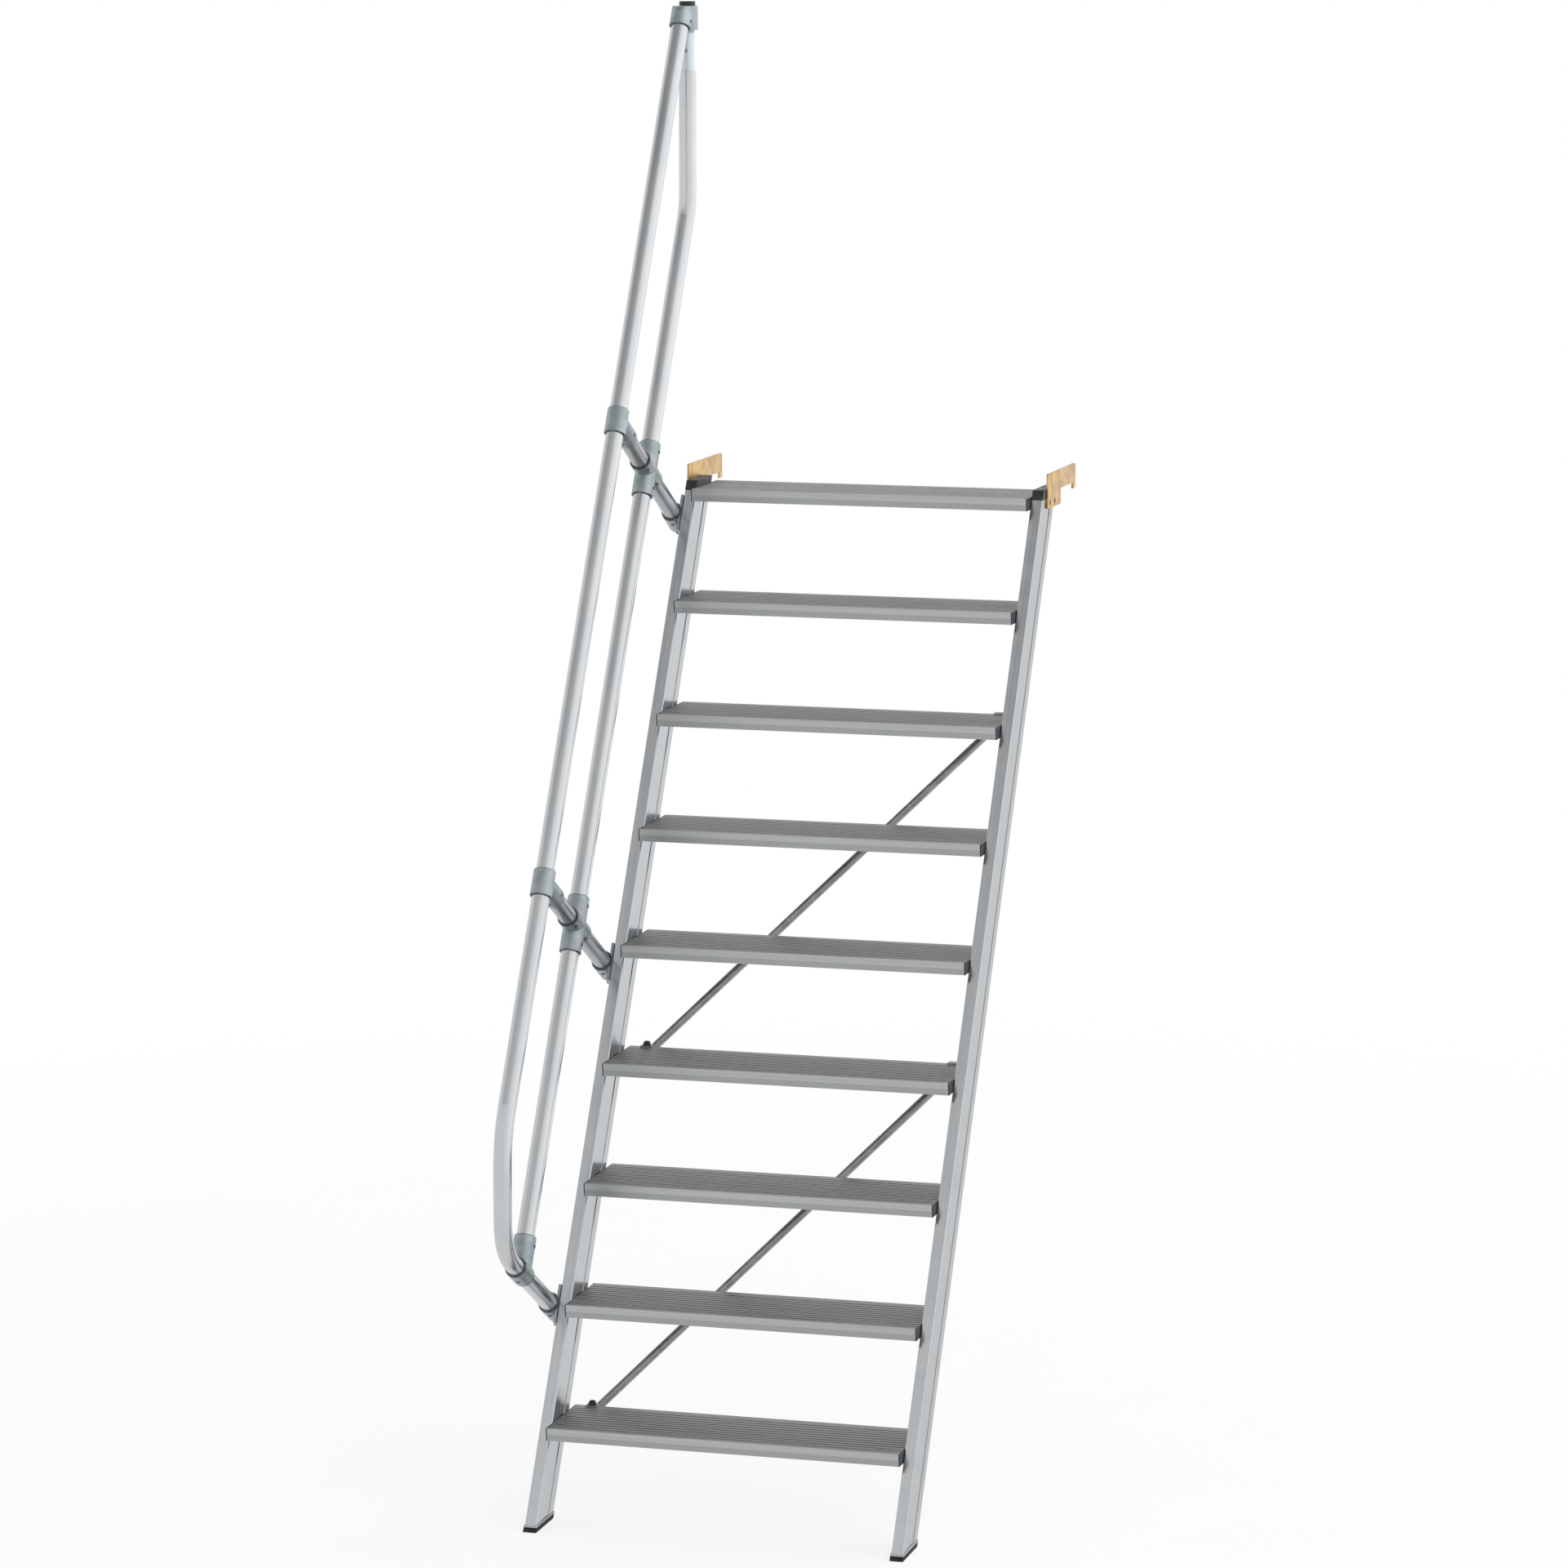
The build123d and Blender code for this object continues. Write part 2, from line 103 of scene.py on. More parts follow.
# Top hooks
HOOK_THICK = 5.0
HOOK_CORNER = 6.0
HOOK_OUTLINE = [
    (1197.5, 2204.0, True),
    (1470.0, 2204.0, True),
    (1470.0, 2146.0, False),
    (1448.0, 2146.0, False),
    (1448.0, 2160.0, False),
    (1322.0, 2160.0, False),
    (1322.0, 2124.0, True),
    (1197.5, 2124.0, True),
]
HOOK_EDGE = 0.6
HOOK_SCREWS = [(1263.0, 2137.0), (1216.0, 2137.0)]
HOOK_HOLE_RADIUS = 8.2
HOOK_HOLE_SIDES = 40
HOOK_CORNER_PARTS = 6

# Finishes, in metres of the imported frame
NECK_TOP = 1.036
FOOT_HIGHLIGHT_HEIGHT = 0.0102
TREAD_RIB_PITCH = 0.0045
FOOT_RIB_PITCH = 0.0035
BARE_EDGE = (0.66, 0.67, 0.68)

# Floor, in metres
FLOOR_Z = -2.16
FLOOR_MIDDLE = (0.43, -0.7)
FLOOR_RADIUS = 7.0
FLOOR_FADE = (2.4, 5.5)
FLOOR_GLOW = 0.80

# Room, drawn by the direction looked in: where the ceiling starts, and how bright each part is
CEILING_START = 0.762
CEILING_SOFTNESS = 0.12
CEILING_TILT = 0.075
CEILING_SAG = 0.25
CEILING_LEVEL = 0.34
WALL_EXTRA = 0.66
RIGHT_EXTRA = 0.30
RIGHT_RANGE = (0.28, 0.62)

# Lamp, in metres and watts
KEY_SIZE = 3.5
KEY_DISTANCE = 6.0
KEY_FROM = Vector((0.30, 0.35, 0.89))
KEY_POWER = 78.0
KEY_TARGET_Z = -1.0


def place(x, y, z):
    """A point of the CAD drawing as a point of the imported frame."""
    return (Vector((x, y, z)) - ORIGIN) * MM


def slope_place(x, s, q):
    """The point at x across, s up the slope and q square to it."""
    y = FRONT_AT_FLOOR + s * math.cos(SLOPE) - q * math.sin(SLOPE)
    return place(x, y, s * math.sin(SLOPE) + q * math.cos(SLOPE))


ACROSS = Vector((1.0, 0.0, 0.0))
UP = Vector((0.0, 0.0, 1.0))
UP_SLOPE = Vector((0.0, math.cos(SLOPE), math.sin(SLOPE)))
OFF_SLOPE = Vector((0.0, -math.sin(SLOPE), math.cos(SLOPE)))

# Marks a hexagonal ring in a profile for spin
HEX = "hexagonal"
SHARP_FROM = math.radians(32.0)


def add_object(name, data):
    """A new object in the scene."""
    thing = bpy.data.objects.new(name, data)
    bpy.context.scene.collection.objects.link(thing)
    return thing


class Nodes:
    """A node tree being put together."""

    def __init__(self, tree):
        self.tree = tree

    def feed(self, socket, value):
        """Links a socket into another, or sets its number."""
        if isinstance(value, bpy.types.NodeSocket):
            self.tree.links.new(value, socket)
        else:
            socket.default_value = value

    def add(self, kind, inputs, **settings):
        node = self.tree.nodes.new("ShaderNode" + kind)
        for key, value in settings.items():
            setattr(node, key, value)
        for key, value in inputs.items():
            self.feed(node.inputs[key], value)
        return node

    def ranged(self, value, low, high, to_low, to_high):
        """A value carried from one range to another, with a soft start and end."""
        inputs = {0: value, 1: low, 2: high, 3: to_low, 4: to_high}
        return self.add("MapRange", inputs, interpolation_type="SMOOTHSTEP").outputs[0]

    def math(self, operation, first, second=0.0):
        """Sine and absolute value take one number only."""
        return self.add("Math", {0: first, 1: second}, operation=operation).outputs[0]

    def part(self, vector, axis):
        """One of a vector's three numbers."""
        return self.add("SeparateXYZ", {0: vector}).outputs[axis]


class Finish(Nodes):
    """A material being put together from nodes."""

    def __init__(self, name, metallic):
        self.material = bpy.data.materials.new(name)
        self.material.use_nodes = True
        super().__init__(self.material.node_tree)
        self.shader = self.tree.nodes["Principled BSDF"]
        self.shader.inputs["Metallic"].default_value = metallic

    def object_place(self, scale=(1.0, 1.0, 1.0), turn=0.0):
        """Places in the object's own metres, turned about x and stretched."""
        coordinates = self.add("TexCoord", {}).outputs["Object"]
        rotation = (turn, 0.0, 0.0)
        turned = self.add("Mapping", {"Vector": coordinates, "Rotation": rotation})
        return self.add("Mapping", {"Vector": turned.outputs[0], "Scale": scale}).outputs[0]

    def noise(self, vector, scale, detail=3.0):
        inputs = {"Vector": vector, "Scale": scale, "Detail": detail}
        return self.add("TexNoise", inputs).outputs[0]

    def blend(self, factor, first, second):
        """One colour turning into another."""
        mix = self.add("Mix", {0: factor}, data_type="RGBA")
        for socket, colour in ((mix.inputs[6], first), (mix.inputs[7], second)):
            value = colour if isinstance(colour, bpy.types.NodeSocket) else (*colour, 1.0)
            self.feed(socket, value)
        return mix.outputs[2]

    def mottled(self, pattern, low, high, dark, light):
        """A dark and a light colour laid out by a noise."""
        return self.blend(self.ranged(pattern, low, high, 0.0, 1.0), dark, light)

    def worn(self, colour, edges, share, bare):
        """A colour rubbed partly bare along the sharp edges."""
        return self.blend(self.math("MULTIPLY", edges, share), colour, bare)

    def edges(self, radius):
        """How close the surface is to a sharp edge, from 0 to 1."""
        rounded = self.add("Bevel", {"Radius": radius}, samples=4).outputs[0]
        plain = self.add("NewGeometry", {}).outputs["Normal"]
        likeness = self.add("VectorMath", {0: rounded, 1: plain}, operation="DOT_PRODUCT")
        return self.ranged(likeness.outputs["Value"], 0.995, 0.86, 0.0, 1.0)

    def facing(self, axis):
        """The surface's own normal along one axis."""
        normal = self.add("TexCoord", {}).outputs["Normal"]
        return self.part(normal, axis)

    def boxed(self, axis):
        """The place along one axis of the object's own box, from 0 to 1."""
        generated = self.add("TexCoord", {}).outputs["Generated"]
        return self.part(generated, axis)

    def bump(self, height, depth, below=None):
        inputs = {"Height": height, "Distance": depth, "Strength": 1.0}
        if below is not None:
            inputs["Normal"] = below
        return self.add("Bump", inputs).outputs[0]

    def done(self, colour, roughness, normal):
        self.feed(self.shader.inputs["Base Color"], colour)
        self.feed(self.shader.inputs["Roughness"], roughness)
        self.feed(self.shader.inputs["Normal"], normal)
        return self.material


def extruded_aluminium():
    """Satin stringer metal: die lines up the slope, cloudy patches and brighter worn edges.

    The side faces are darker than the front with painted shade, and the right stringer's more so,
    as in the photo.
    """
    finish = Finish("satin_extruded_aluminium", 1.0)
    lines = finish.noise(finish.object_place((260.0, 1.2, 260.0), -SLOPE), 1.0, 2.0)
    clouds = finish.noise(finish.object_place(), 7.0)
    smears = finish.noise(finish.object_place((6.0, 22.0, 6.0), -SLOPE), 1.0, 4.0)
    edges = finish.edges(0.0012)
    colour = finish.mottled(lines, 0.35, 0.65, (0.50, 0.525, 0.545), (0.56, 0.575, 0.59))
    colour = finish.blend(finish.ranged(clouds, 0.42, 0.68, 0.0, 0.35), colour, (0.47, 0.49, 0.51))
    # Painted shade: side faces darker than front faces, more so on the right stringer.
    sideways = finish.math("ABSOLUTE", finish.facing(0))
    across = finish.part(finish.object_place(), 0)
    side_painted_shade = finish.math(
        "MULTIPLY",
        finish.ranged(sideways, 0.7, 0.95, 0.0, 1.0),
        finish.ranged(across, 0.2, 0.7, 0.30, 0.62),
    )
    colour = finish.blend(side_painted_shade, colour, (0.30, 0.315, 0.325))
    colour = finish.worn(colour, edges, 0.6, BARE_EDGE)
    roughness = finish.math(
        "ADD",
        finish.ranged(smears, 0.35, 0.7, 0.13, 0.23),
        finish.ranged(lines, 0.3, 0.7, 0.0, 0.05),
    )
    normal = finish.bump(lines, 0.00006)
    return finish.done(colour, roughness, normal)


def tube_aluminium(name, dark, light, blur):
    """Drawn tube: a fine even grain, faint handling marks and a few soft dull patches."""
    finish = Finish(name, 1.0)
    grain = finish.noise(finish.object_place(), 420.0, 2.0)
    marks = finish.noise(finish.object_place((9.0, 3.0, 9.0), -SLOPE), 1.0, 5.0)
    edges = finish.edges(0.001)
    colour = finish.mottled(marks, 0.35, 0.65, dark, light)
    pits = [0.92 * part for part in dark]
    colour = finish.blend(finish.ranged(grain, 0.5, 0.8, 0.0, 0.3), colour, pits)
    colour = finish.worn(colour, edges, 0.5, BARE_EDGE)
    roughness = finish.math(
        "ADD",
        finish.ranged(marks, 0.35, 0.7, blur, blur + 0.11),
        finish.ranged(grain, 0.3, 0.7, 0.0, 0.06),
    )
    normal = finish.bump(grain, 0.00003)
    return finish.done(colour, roughness, normal)


def brace_tube():
    """The braces' dull mill finish: grey drawn tube with darker stains."""
    finish = Finish("dull_brace_tube", 1.0)
    grain = finish.noise(finish.object_place(), 420.0, 2.0)
    stains = finish.noise(finish.object_place(), 38.0, 4.0)
    edges = finish.edges(0.001)
    colour = finish.mottled(stains, 0.35, 0.65, (0.265, 0.265, 0.263), (0.360, 0.360, 0.358))
    colour = finish.worn(colour, edges, 0.4, (0.46, 0.46, 0.46))
    roughness = finish.math(
        "ADD",
        finish.ranged(stains, 0.35, 0.7, 0.36, 0.48),
        finish.ranged(grain, 0.3, 0.7, 0.0, 0.06),
    )
    return finish.done(colour, roughness, finish.bump(grain, 0.00004))


def tread_aluminium():
    """Ribbed tread: a walking face darker than its sides, partly its own dull finish and partly
    painted shade, darker still on upward faces low in its grooves, and a brighter nose over a
    lower band of painted shade.
    """
    finish = Finish("ribbed_tread_aluminium", 1.0)
    position = finish.object_place()
    lines = finish.noise(finish.object_place((1.0, 320.0, 320.0)), 1.0, 2.0)
    scuffs = finish.noise(finish.object_place((5.0, 26.0, 26.0)), 1.0, 5.0)
    grit = finish.noise(position, 900.0, 2.0)
    edges = finish.edges(0.0011)
    upward = finish.ranged(finish.facing(2), 0.55, 0.8, 0.0, 1.0)
    level = finish.boxed(2)
    # Painted shade: the lower half of the side faces is darker than the nose above it.
    nose = finish.ranged(level, 0.48, 0.52, 0.0, 1.0)
    grooves = finish.ranged(level, 0.985, 0.955, 0.0, 1.0)
    side = finish.blend(nose, (0.335, 0.345, 0.35), (0.43, 0.44, 0.445))
    side = finish.blend(finish.ranged(lines, 0.4, 0.7, 0.0, 0.3), side, (0.32, 0.33, 0.34))
    # The walking face's darker colour is partly its own dull finish and partly painted shade;
    # upward faces low in the grooves go darker still.
    top = finish.mottled(scuffs, 0.35, 0.68, (0.270, 0.273, 0.275), (0.360, 0.363, 0.365))
    top = finish.blend(finish.math("MULTIPLY", grooves, 0.40), top, (0.115, 0.115, 0.112))
    colour = finish.blend(upward, side, top)
    colour = finish.worn(colour, edges, 0.55, (0.52, 0.53, 0.54))
    roughness = finish.math(
        "ADD",
        finish.ranged(upward, 0.0, 1.0, 0.24, 0.46),
        finish.ranged(scuffs, 0.3, 0.7, 0.0, 0.12),
    )
    along = finish.part(position, 1)
    ribs = finish.math("SINE", finish.math("MULTIPLY", along, 2 * math.pi / TREAD_RIB_PITCH))
    ribs = finish.math("MULTIPLY", ribs, upward)
    normal = finish.bump(ribs, 0.00008)
    normal = finish.bump(finish.math("ADD", grit, lines), 0.00008, normal)
    return finish.done(colour, roughness, normal)


def cast_aluminium(name, with_neck=False):
    """Blasted casting: bluish grey, pitted and blotchy, polished only along its edges."""
    finish = Finish(name, 1.0)
    position = finish.object_place()
    pits = finish.noise(position, 1300.0, 2.0)
    skin = finish.noise(position, 210.0, 4.0)
    blotches = finish.noise(position, 34.0, 3.0)
    edges = finish.edges(0.0011)
    colour = finish.mottled(blotches, 0.36, 0.64, (0.305, 0.350, 0.368), (0.390, 0.432, 0.450))
    colour = finish.blend(finish.ranged(pits, 0.55, 0.75, 0.0, 0.5), colour, (0.13, 0.15, 0.16))
    colour = finish.worn(colour, edges, 0.35, (0.46, 0.48, 0.50))
    if with_neck:
        height = finish.part(position, 2)
        below = finish.ranged(height, NECK_TOP, NECK_TOP - 0.004, 0.0, 0.85)
        colour = finish.blend(below, colour, (0.60, 0.655, 0.675))
    roughness = finish.ranged(skin, 0.3, 0.7, 0.36, 0.52)
    normal = finish.bump(skin, 0.0003)
    normal = finish.bump(pits, 0.00012, normal)
    return finish.done(colour, roughness, normal)


def collar_shade_and_screw_metal():
    """Dark metal: painted shade as the rings at the castings' mouths, with patches of dirt, and
    also the grub screws' and base bolts' own dark steel.
    """
    finish = Finish("collar_shade_and_screw_metal", 1.0)
    position = finish.object_place()
    dirt = finish.noise(position, 160.0, 4.0)
    pits = finish.noise(position, 1100.0, 2.0)
    colour = finish.mottled(dirt, 0.38, 0.64, (0.085, 0.10, 0.108), (0.19, 0.21, 0.222))
    edges = finish.edges(0.0006)
    colour = finish.worn(colour, edges, 0.3, (0.38, 0.40, 0.41))
    roughness = finish.ranged(dirt, 0.3, 0.7, 0.36, 0.55)
    return finish.done(colour, roughness, finish.bump(pits, 0.0001))


def yellow_zinc():
    """Yellow passivated steel: gold with olive and rosy clouds, and thin grey at the edges."""
    finish = Finish("yellow_passivated_zinc", 1.0)
    position = finish.object_place()
    clouds = finish.noise(position, 26.0, 4.0)
    tints = finish.noise(position, 70.0, 3.0)
    grain = finish.noise(position, 700.0, 2.0)
    edges = finish.edges(0.001)
    colour = finish.mottled(clouds, 0.38, 0.64, (0.44, 0.25, 0.075), (0.64, 0.43, 0.185))
    colour = finish.blend(finish.ranged(tints, 0.54, 0.72, 0.0, 0.45), colour, (0.46, 0.38, 0.14))
    colour = finish.blend(finish.ranged(tints, 0.46, 0.30, 0.0, 0.40), colour, (0.70, 0.42, 0.27))
    colour = finish.worn(colour, edges, 0.45, (0.62, 0.57, 0.47))
    roughness = finish.math(
        "ADD",
        finish.ranged(clouds, 0.35, 0.7, 0.27, 0.38),
        finish.ranged(grain, 0.3, 0.7, 0.0, 0.08),
    )
    return finish.done(colour, roughness, finish.bump(grain, 0.00005))


def painted_shade_screw_zinc():
    """Yellow zinc on the hook screws, darkened with painted shade."""
    finish = Finish("painted_shade_yellow_zinc", 1.0)
    position = finish.object_place()
    clouds = finish.noise(position, 150.0, 3.0)
    grain = finish.noise(position, 1500.0, 2.0)
    edges = finish.edges(0.0006)
    colour = finish.mottled(clouds, 0.38, 0.62, (0.17, 0.095, 0.022), (0.29, 0.175, 0.050))
    colour = finish.worn(colour, edges, 0.4, (0.50, 0.38, 0.19))
    roughness = finish.ranged(grain, 0.3, 0.7, 0.26, 0.40)
    return finish.done(colour, roughness, finish.bump(grain, 0.00005))


def black_plastic():
    """Moulded plastic: a fine spark-eroded grain, paler where its edges are rubbed."""
    finish = Finish("moulded_black_plastic", 0.0)
    position = finish.object_place()
    grain = finish.noise(position, 1600.0, 2.0)
    haze = finish.noise(position, 45.0, 4.0)
    edges = finish.edges(0.0009)
    colour = finish.mottled(haze, 0.36, 0.66, (0.018, 0.018, 0.02), (0.036, 0.037, 0.040))
    colour = finish.worn(colour, edges, 0.6, (0.10, 0.10, 0.105))
    roughness = finish.ranged(haze, 0.3, 0.7, 0.36, 0.52)
    finish.shader.inputs["Specular IOR Level"].default_value = 0.35
    return finish.done(colour, roughness, finish.bump(grain, 0.0001))


def black_rubber():
    """Rubber feet: matt, faintly ribbed, with floor dust on their lowest few millimetres and a
    painted highlight as a pale band round their top.
    """
    finish = Finish("moulded_black_rubber", 0.0)
    position = finish.object_place()
    grain = finish.noise(position, 1200.0, 3.0)
    dust = finish.noise(position, 120.0, 4.0)
    height = finish.part(position, 2)
    low = finish.ranged(height, FLOOR_Z + 0.007, FLOOR_Z, 0.0, 1.0)
    powder = finish.math("MULTIPLY", low, finish.ranged(dust, 0.35, 0.65, 0.05, 0.5))
    edges = finish.edges(0.001)
    colour = finish.mottled(dust, 0.36, 0.66, (0.010, 0.010, 0.011), (0.021, 0.021, 0.021))
    colour = finish.blend(powder, colour, (0.115, 0.108, 0.10))
    colour = finish.worn(colour, edges, 0.4, (0.055, 0.055, 0.056))
    # Painted highlight: a pale grey band round the top of each foot.
    rim = finish.ranged(height, FLOOR_Z + FOOT_HIGHLIGHT_HEIGHT - 0.0004, FLOOR_Z + FOOT_HIGHLIGHT_HEIGHT, 0.0, 0.9)
    colour = finish.blend(rim, colour, (0.52, 0.53, 0.54))
    roughness = finish.ranged(grain, 0.3, 0.7, 0.60, 0.82)
    finish.shader.inputs["Specular IOR Level"].default_value = 0.22
    ribs = finish.math("SINE", finish.math("MULTIPLY", height, 2 * math.pi / FOOT_RIB_PITCH))
    normal = finish.bump(ribs, 0.0002)
    return finish.done(colour, roughness, finish.bump(grain, 0.00018, normal))


def turn_to(axis):
    """The turn that carries the z axis onto another one."""
    return axis.to_track_quat("Z", "Y").to_matrix().to_4x4()


def hexagon_share(angle):
    """How far out a hexagon's side lies at an angle, as a share of its corners' radius."""
    return math.cos(math.pi / 6) / math.cos(angle % (math.pi / 3) - math.pi / 6)


def spin(mesh, profile, centre, axis, sides=36, closed=False):
    """Adds a form spun round an axis from (radius, height) pairs in millimetres.

    A pair with HEX after it gives a hexagonal ring instead of a round one.
    """
    move = Matrix.Translation(centre) @ turn_to(axis)
    rings = []
    for radius, height, *hexagonal in profile:
        ring = []
        for side in range(sides):
            angle = 2 * math.pi * side / sides
            reach = radius * hexagon_share(angle) if hexagonal else radius
            point = Vector((reach * math.cos(angle), reach * math.sin(angle), height)) * MM
            ring.append(mesh.verts.new(move @ point))
        rings.append(ring)
    pairs = list(zip(rings, rings[1:]))
    if closed:
        pairs.append((rings[-1], rings[0]))
    for low, high in pairs:
        for side in range(sides):
            other = (side + 1) % sides
            mesh.faces.new((low[side], low[other], high[other], high[side]))


def finish_piece(mesh, name, material):
    """Turns the drawn mesh into a named piece that rides on the ladder."""
    bmesh.ops.remove_doubles(mesh, verts=mesh.verts, dist=1e-6)
    bmesh.ops.recalc_face_normals(mesh, faces=mesh.faces)
    for face in mesh.faces:
        face.smooth = True
    data = bpy.data.meshes.new(name)
    mesh.to_mesh(data)
    mesh.free()
    data.set_sharp_from_angle(angle=SHARP_FROM)
    data.materials.append(material)
    piece = add_object(name, data)
    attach(piece, "root")
    return piece


def collar(mesh, centre, axis):
    """A thin ring on a casting's mouth, round the tube that goes into it."""
    inner = TUBE_RADIUS + 0.15
    outer = FITTING_RADIUS - 0.3
    profile = [
        (inner, -0.6),
        (outer, -0.6),
        (outer, 0.9),
        (outer - 0.8, 1.7),
        (inner + 1.0, 1.9),
        (inner, 1.2),
    ]
    spin(mesh, profile, centre, axis, COLLAR_SIDES, closed=True)


def grub_screw(mesh, centre, axis):
    """A socket screw's end, with its drive hole, standing a little out of a casting."""
    rim = [(0.0, -1.2), (4.6, -1.2), (4.6, 0.5), (4.1, 0.9), (2.9, 0.9)]
    drive = [(2.3, 0.75, HEX), (2.3, -0.8, HEX), (0.0, -0.9)]
    spin(mesh, rim + drive, centre, axis, 30)


def hex_bolt(mesh, centre, axis):
    """A hexagon head with its chamfer, on a plain washer."""
    washer = [(4.0, 0.0), (8.0, 0.0), (8.4, 0.4), (8.4, 1.2), (8.0, 1.6), (4.0, 1.6)]
    spin(mesh, washer, centre, axis, closed=True)
    flats = [(0.0, 1.6), (7.2, 1.6, HEX), (7.5, 1.9, HEX), (7.5, 6.3, HEX)]
    crown = [(6.2, 6.9), (3.0, 6.9), (2.6, 6.6), (0.0, 6.6)]
    spin(mesh, flats + crown, centre, axis)


def bolt_cover(mesh, centre, axis):
    """A domed cover pressed over a bolt, with a flared skirt."""
    profile = [
        (0.0, 0.0),
        (9.6, 0.0),
        (9.8, 0.8),
        (9.5, 1.8),
        (8.3, 2.6),
        (8.1, 5.2),
        (7.4, 7.4),
        (5.8, 9.0),
        (3.2, 9.9),
        (0.0, 10.1),
    ]
    spin(mesh, profile, centre, axis)


def flush_screw(mesh, centre, axis):
    """A flat head sunk level with a plate, with its socket."""
    rim = [(0.0, -4.6), (7.9, -4.6), (7.9, -0.7), (7.3, -0.3), (4.9, -0.25)]
    drive = [(4.1, -0.45, HEX), (4.1, -3.2, HEX), (0.0, -3.4)]
    spin(mesh, rim + drive, centre, axis)


def casting_collars(material):
    """The rings on every mouth of every casting, one piece for each kind."""
    clamps = bmesh.new()
    knees = bmesh.new()
    bases = bmesh.new()
    for s in (MIDDLE_S, UPPER_S):
        mouth = HANDRAIL_Q - HANDRAIL_SOCKET_REACH
        collar(clamps, slope_place(RAIL_X, s, mouth), -OFF_SLOPE)
        for way in (-1, 1):
            end = slope_place(RAIL_X, s + way * HANDRAIL_CLAMP_HALF, HANDRAIL_Q)
            collar(clamps, end, UP_SLOPE * way)
            end = slope_place(RAIL_X, s + way * KNEE_CLAMP_HALF, KNEE_RAIL_Q)
            collar(knees, end, UP_SLOPE * way)
            end = slope_place(RAIL_X, s, KNEE_RAIL_Q + way * KNEE_SOCKET_REACH)
            collar(knees, end, OFF_SLOPE * way)
    for way in (-1, 1):
        end = slope_place(RAIL_X, LOWER_S, KNEE_RAIL_Q + way * TEE_HALF)
        collar(knees, end, OFF_SLOPE * way)
    collar(knees, slope_place(RAIL_X, LOWER_S + TEE_REACH, KNEE_RAIL_Q), UP_SLOPE)
    collar(clamps, slope_place(RAIL_X, TOP_MOUTH_S, HANDRAIL_Q), -UP_SLOPE)
    for s in (LOWER_S, MIDDLE_S, UPPER_S):
        ring = bmesh.new()
        collar(ring, slope_place(RAIL_X, s, BASE_TOP_Q), OFF_SLOPE)
        keep_outside(ring, -OUTER_X - COLLAR_OFF_STRINGER)
        data = bpy.data.meshes.new("ring")
        ring.to_mesh(data)
        ring.free()
        bases.from_mesh(data)
        bpy.data.meshes.remove(data)
    finish_piece(clamps, "handrail_clamp_collars", material)
    finish_piece(knees, "knee_clamp_collars", material)
    finish_piece(bases, "stanchion_base_collars", material)


def keep_outside(mesh, x_limit):
    """Cuts away what lies beyond the face of the left stringer."""
    bmesh.ops.bisect_plane(
        mesh,
        geom=mesh.verts[:] + mesh.edges[:] + mesh.faces[:],
        plane_co=place(x_limit, 0.0, 0.0),
        plane_no=ACROSS,
        clear_outer=True,
    )
    bmesh.ops.holes_fill(mesh, edges=[edge for edge in mesh.edges if edge.is_boundary])


def casting_screws(material):
    """The grub screws that pinch the tubes in the castings."""
    mesh = bmesh.new()
    reach = FITTING_RADIUS * MM
    aslant = (ACROSS - UP_SLOPE).normalized()
    for s in (MIDDLE_S, UPPER_S):
        for axis in (ACROSS, -UP_SLOPE):
            centre = slope_place(RAIL_X, s, HANDRAIL_Q - CLAMP_SCREW_DROP)
            grub_screw(mesh, centre + axis * reach, axis)
        for way in (-1, 1):
            centre = slope_place(RAIL_X, s, KNEE_RAIL_Q + way * KNEE_SCREW_OFF)
            grub_screw(mesh, centre + aslant * reach, aslant)
            centre = slope_place(RAIL_X, s + way * KNEE_SCREW_ALONG, KNEE_RAIL_Q)
            grub_screw(mesh, centre + ACROSS * reach, ACROSS)
    centre = slope_place(RAIL_X, LOWER_S + TEE_SCREW_ALONG, KNEE_RAIL_Q)
    grub_screw(mesh, centre + ACROSS * reach, ACROSS)
    centre = slope_place(RAIL_X, LOWER_S, KNEE_RAIL_Q)
    grub_screw(mesh, centre - UP_SLOPE * reach, -UP_SLOPE)
    for s in (LOWER_S, MIDDLE_S, UPPER_S):
        centre = slope_place(RAIL_X, s, BASE_MIDDLE_Q + BASE_SCREW_OFF)
        grub_screw(mesh, centre - UP_SLOPE * reach, -UP_SLOPE)
    centre = slope_place(RAIL_X, TOP_MOUTH_S + TOP_SCREW_ALONG, HANDRAIL_Q)
    grub_screw(mesh, centre + ACROSS * reach, ACROSS)
    front = Vector((0.0, -1.0, 0.0))
    neck = place(RAIL_X, POST_Y, (NECK_FOOT_Z + HEAD_LOW_Z) / 2)
    grub_screw(mesh, neck + front * NECK_RADIUS * MM, front)
    finish_piece(mesh, "casting_grub_screws", material)


def base_bolts(material):
    """Two bolts through each stanchion base's flange into the left stringer."""
    mesh = bmesh.new()
    for s in (LOWER_S, MIDDLE_S, UPPER_S):
        for way in (-1, 1):
            face = slope_place(
                -OUTER_X - BASE_FLANGE_THICK, s + way * BASE_BOLT_REACH, BASE_MIDDLE_Q
            )
            hex_bolt(mesh, face, -ACROSS)
    finish_piece(mesh, "stanchion_base_bolts", material)


def brace_covers(material):
    """The dark domed covers on the bolts of the braces' left angles."""
    mesh = bmesh.new()
    for step in BRACE_STEPS:
        y = step * TREAD_PITCH * math.cos(SLOPE) + TREAD_DEPTH - BRACE_COVER_INSET
        z = FIRST_TREAD_Z + step * TREAD_PITCH * math.sin(SLOPE) + BRACKET_THICK
        bolt_cover(mesh, place(-BRACE_END_X, y, z), UP)
    finish_piece(mesh, "brace_bolt_covers", material)


